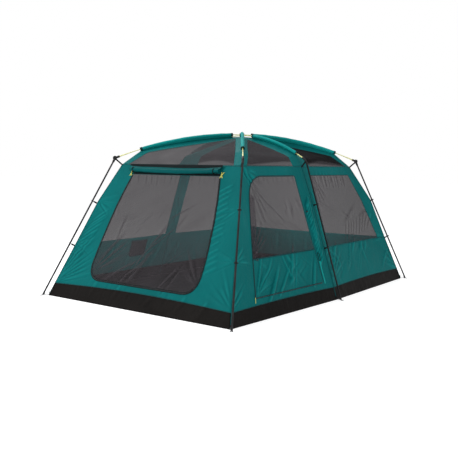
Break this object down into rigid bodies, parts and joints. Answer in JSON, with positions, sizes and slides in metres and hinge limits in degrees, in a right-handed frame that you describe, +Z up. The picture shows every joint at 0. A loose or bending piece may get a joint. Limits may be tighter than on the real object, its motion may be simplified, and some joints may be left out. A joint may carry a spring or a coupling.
{
  "type": "screen house",
  "caption": "Free-standing cabin screen house with leaning legs, elbows, arched roof poles, mesh roof and windows, a zip door in front and one in the side.",
  "frame": {"origin": "on the ground, under the centre of the floor", "axes": "+Z up, +Y along the length from the front wall to the rear wall, +X towards the long wall with the side door"},
  "size_m": [3.2118, 4.4456, 2.103],
  "materials": {
    "leg_steel": "satin",
    "elbow_plastic": "matte",
    "pin_wire": "satin",
    "sleeve_fabric": "satin",
    "fibreglass": "satin",
    "webbing": "woven",
    "mesh_fabric": "open mesh",
    "floor_fabric": "coated",
    "wall_fabric": "coated",
    "pocket_fabric": "coated",
    "zip_plastic": "matte",
    "pull_plastic": "matte"
  },
  "bodies": {
    "tent": {"leg_front_left": "leg_steel", "elbow_front_left": "elbow_plastic", "foot_pin_front_left": "pin_wire", "sleeve_front_left": "sleeve_fabric", "leg_front_right": "leg_steel", "elbow_front_right": "elbow_plastic", "foot_pin_front_right": "pin_wire", "sleeve_front_right": "sleeve_fabric", "leg_middle_right": "leg_steel", "elbow_middle_right": "elbow_plastic", "foot_pin_middle_right": "pin_wire", "sleeve_middle_right": "sleeve_fabric", "leg_rear_right": "leg_steel", "elbow_rear_right": "elbow_plastic", "foot_pin_rear_right": "pin_wire", "sleeve_rear_right": "sleeve_fabric", "leg_rear_left": "leg_steel", "elbow_rear_left": "elbow_plastic", "foot_pin_rear_left": "pin_wire", "sleeve_rear_left": "sleeve_fabric", "leg_middle_left": "leg_steel", "elbow_middle_left": "elbow_plastic", "foot_pin_middle_left": "pin_wire", "sleeve_middle_left": "sleeve_fabric", "roof_pole_diagonal_a": "fibreglass", "roof_pole_diagonal_b": "fibreglass", "roof_pole_cross": "fibreglass", "peak_tie": "webbing", "roof_gore_front": "mesh_fabric", "roof_gore_right_front": "mesh_fabric", "roof_gore_right_rear": "mesh_fabric", "roof_gore_rear": "mesh_fabric", "roof_gore_left_rear": "mesh_fabric", "roof_gore_left_front": "mesh_fabric", "floor_sheet": "floor_fabric", "floor_band_front": "floor_fabric", "floor_band_rear": "floor_fabric", "floor_band_right": "floor_fabric", "floor_band_left": "floor_fabric", "front_wall": "wall_fabric", "rear_wall": "wall_fabric", "right_front_wall": "wall_fabric", "right_rear_wall": "wall_fabric", "left_front_wall": "wall_fabric", "left_rear_wall": "wall_fabric", "storm_flap_roll": "wall_fabric", "rear_window": "mesh_fabric", "right_rear_window": "mesh_fabric", "left_front_window": "mesh_fabric", "left_rear_window": "mesh_fabric", "inner_pocket": "pocket_fabric"},
    "front_door": {"front_door_panel": "mesh_fabric"},
    "side_door": {"side_door_lower": "wall_fabric", "side_door_mesh": "mesh_fabric"},
    "side_zip_slider": {"side_zip_slider": "zip_plastic"},
    "side_zip_pull": {"side_zip_pull": "pull_plastic"},
    "front_zip_slider": {"front_zip_slider": "zip_plastic"},
    "toggle_left": {"toggle_left": "pull_plastic"},
    "toggle_right": {"toggle_right": "pull_plastic"}
  },
  "joints": [
    {"name": "front_door_hinge", "type": "hinge", "parent": "tent", "child": "front_door", "pos_m": [0, -1.37694, 1.54], "axis": [-1, 0, 0], "range_deg": [0, 60]},
    {"name": "side_door_hinge", "type": "hinge", "parent": "tent", "child": "side_door", "pos_m": [1.42464, -0.2, 0.237], "axis": [-0.3143, -0.029, 0.9489], "range_deg": [0, 120]},
    {"name": "side_zip_slide", "type": "slide", "parent": "tent", "child": "side_zip_slider", "axis": [-0.281, 0.2632, 0.9229], "range_m": [0, 1.05]},
    {"name": "side_zip_pull_swing", "type": "hinge", "parent": "side_zip_slider", "child": "side_zip_pull", "pos_m": [1.38633, -1.62107, 0.25124], "axis": [0, -0.9617, 0.2742], "range_deg": [0, 90]},
    {"name": "front_zip_slide", "type": "slide", "parent": "tent", "child": "front_zip_slider", "axis": [-0.1009, 0.4417, 0.8915], "range_m": [0, 0.5]},
    {"name": "toggle_left_turn", "type": "hinge", "parent": "tent", "child": "toggle_left", "pos_m": [-0.722, -1.38552, 1.55422], "axis": [0, -0.896, 0.444], "range_deg": [-90, 90]},
    {"name": "toggle_right_turn", "type": "hinge", "parent": "tent", "child": "toggle_right", "pos_m": [0.722, -1.38552, 1.55422], "axis": [0, -0.896, 0.444], "range_deg": [-90, 90]}
  ]
}
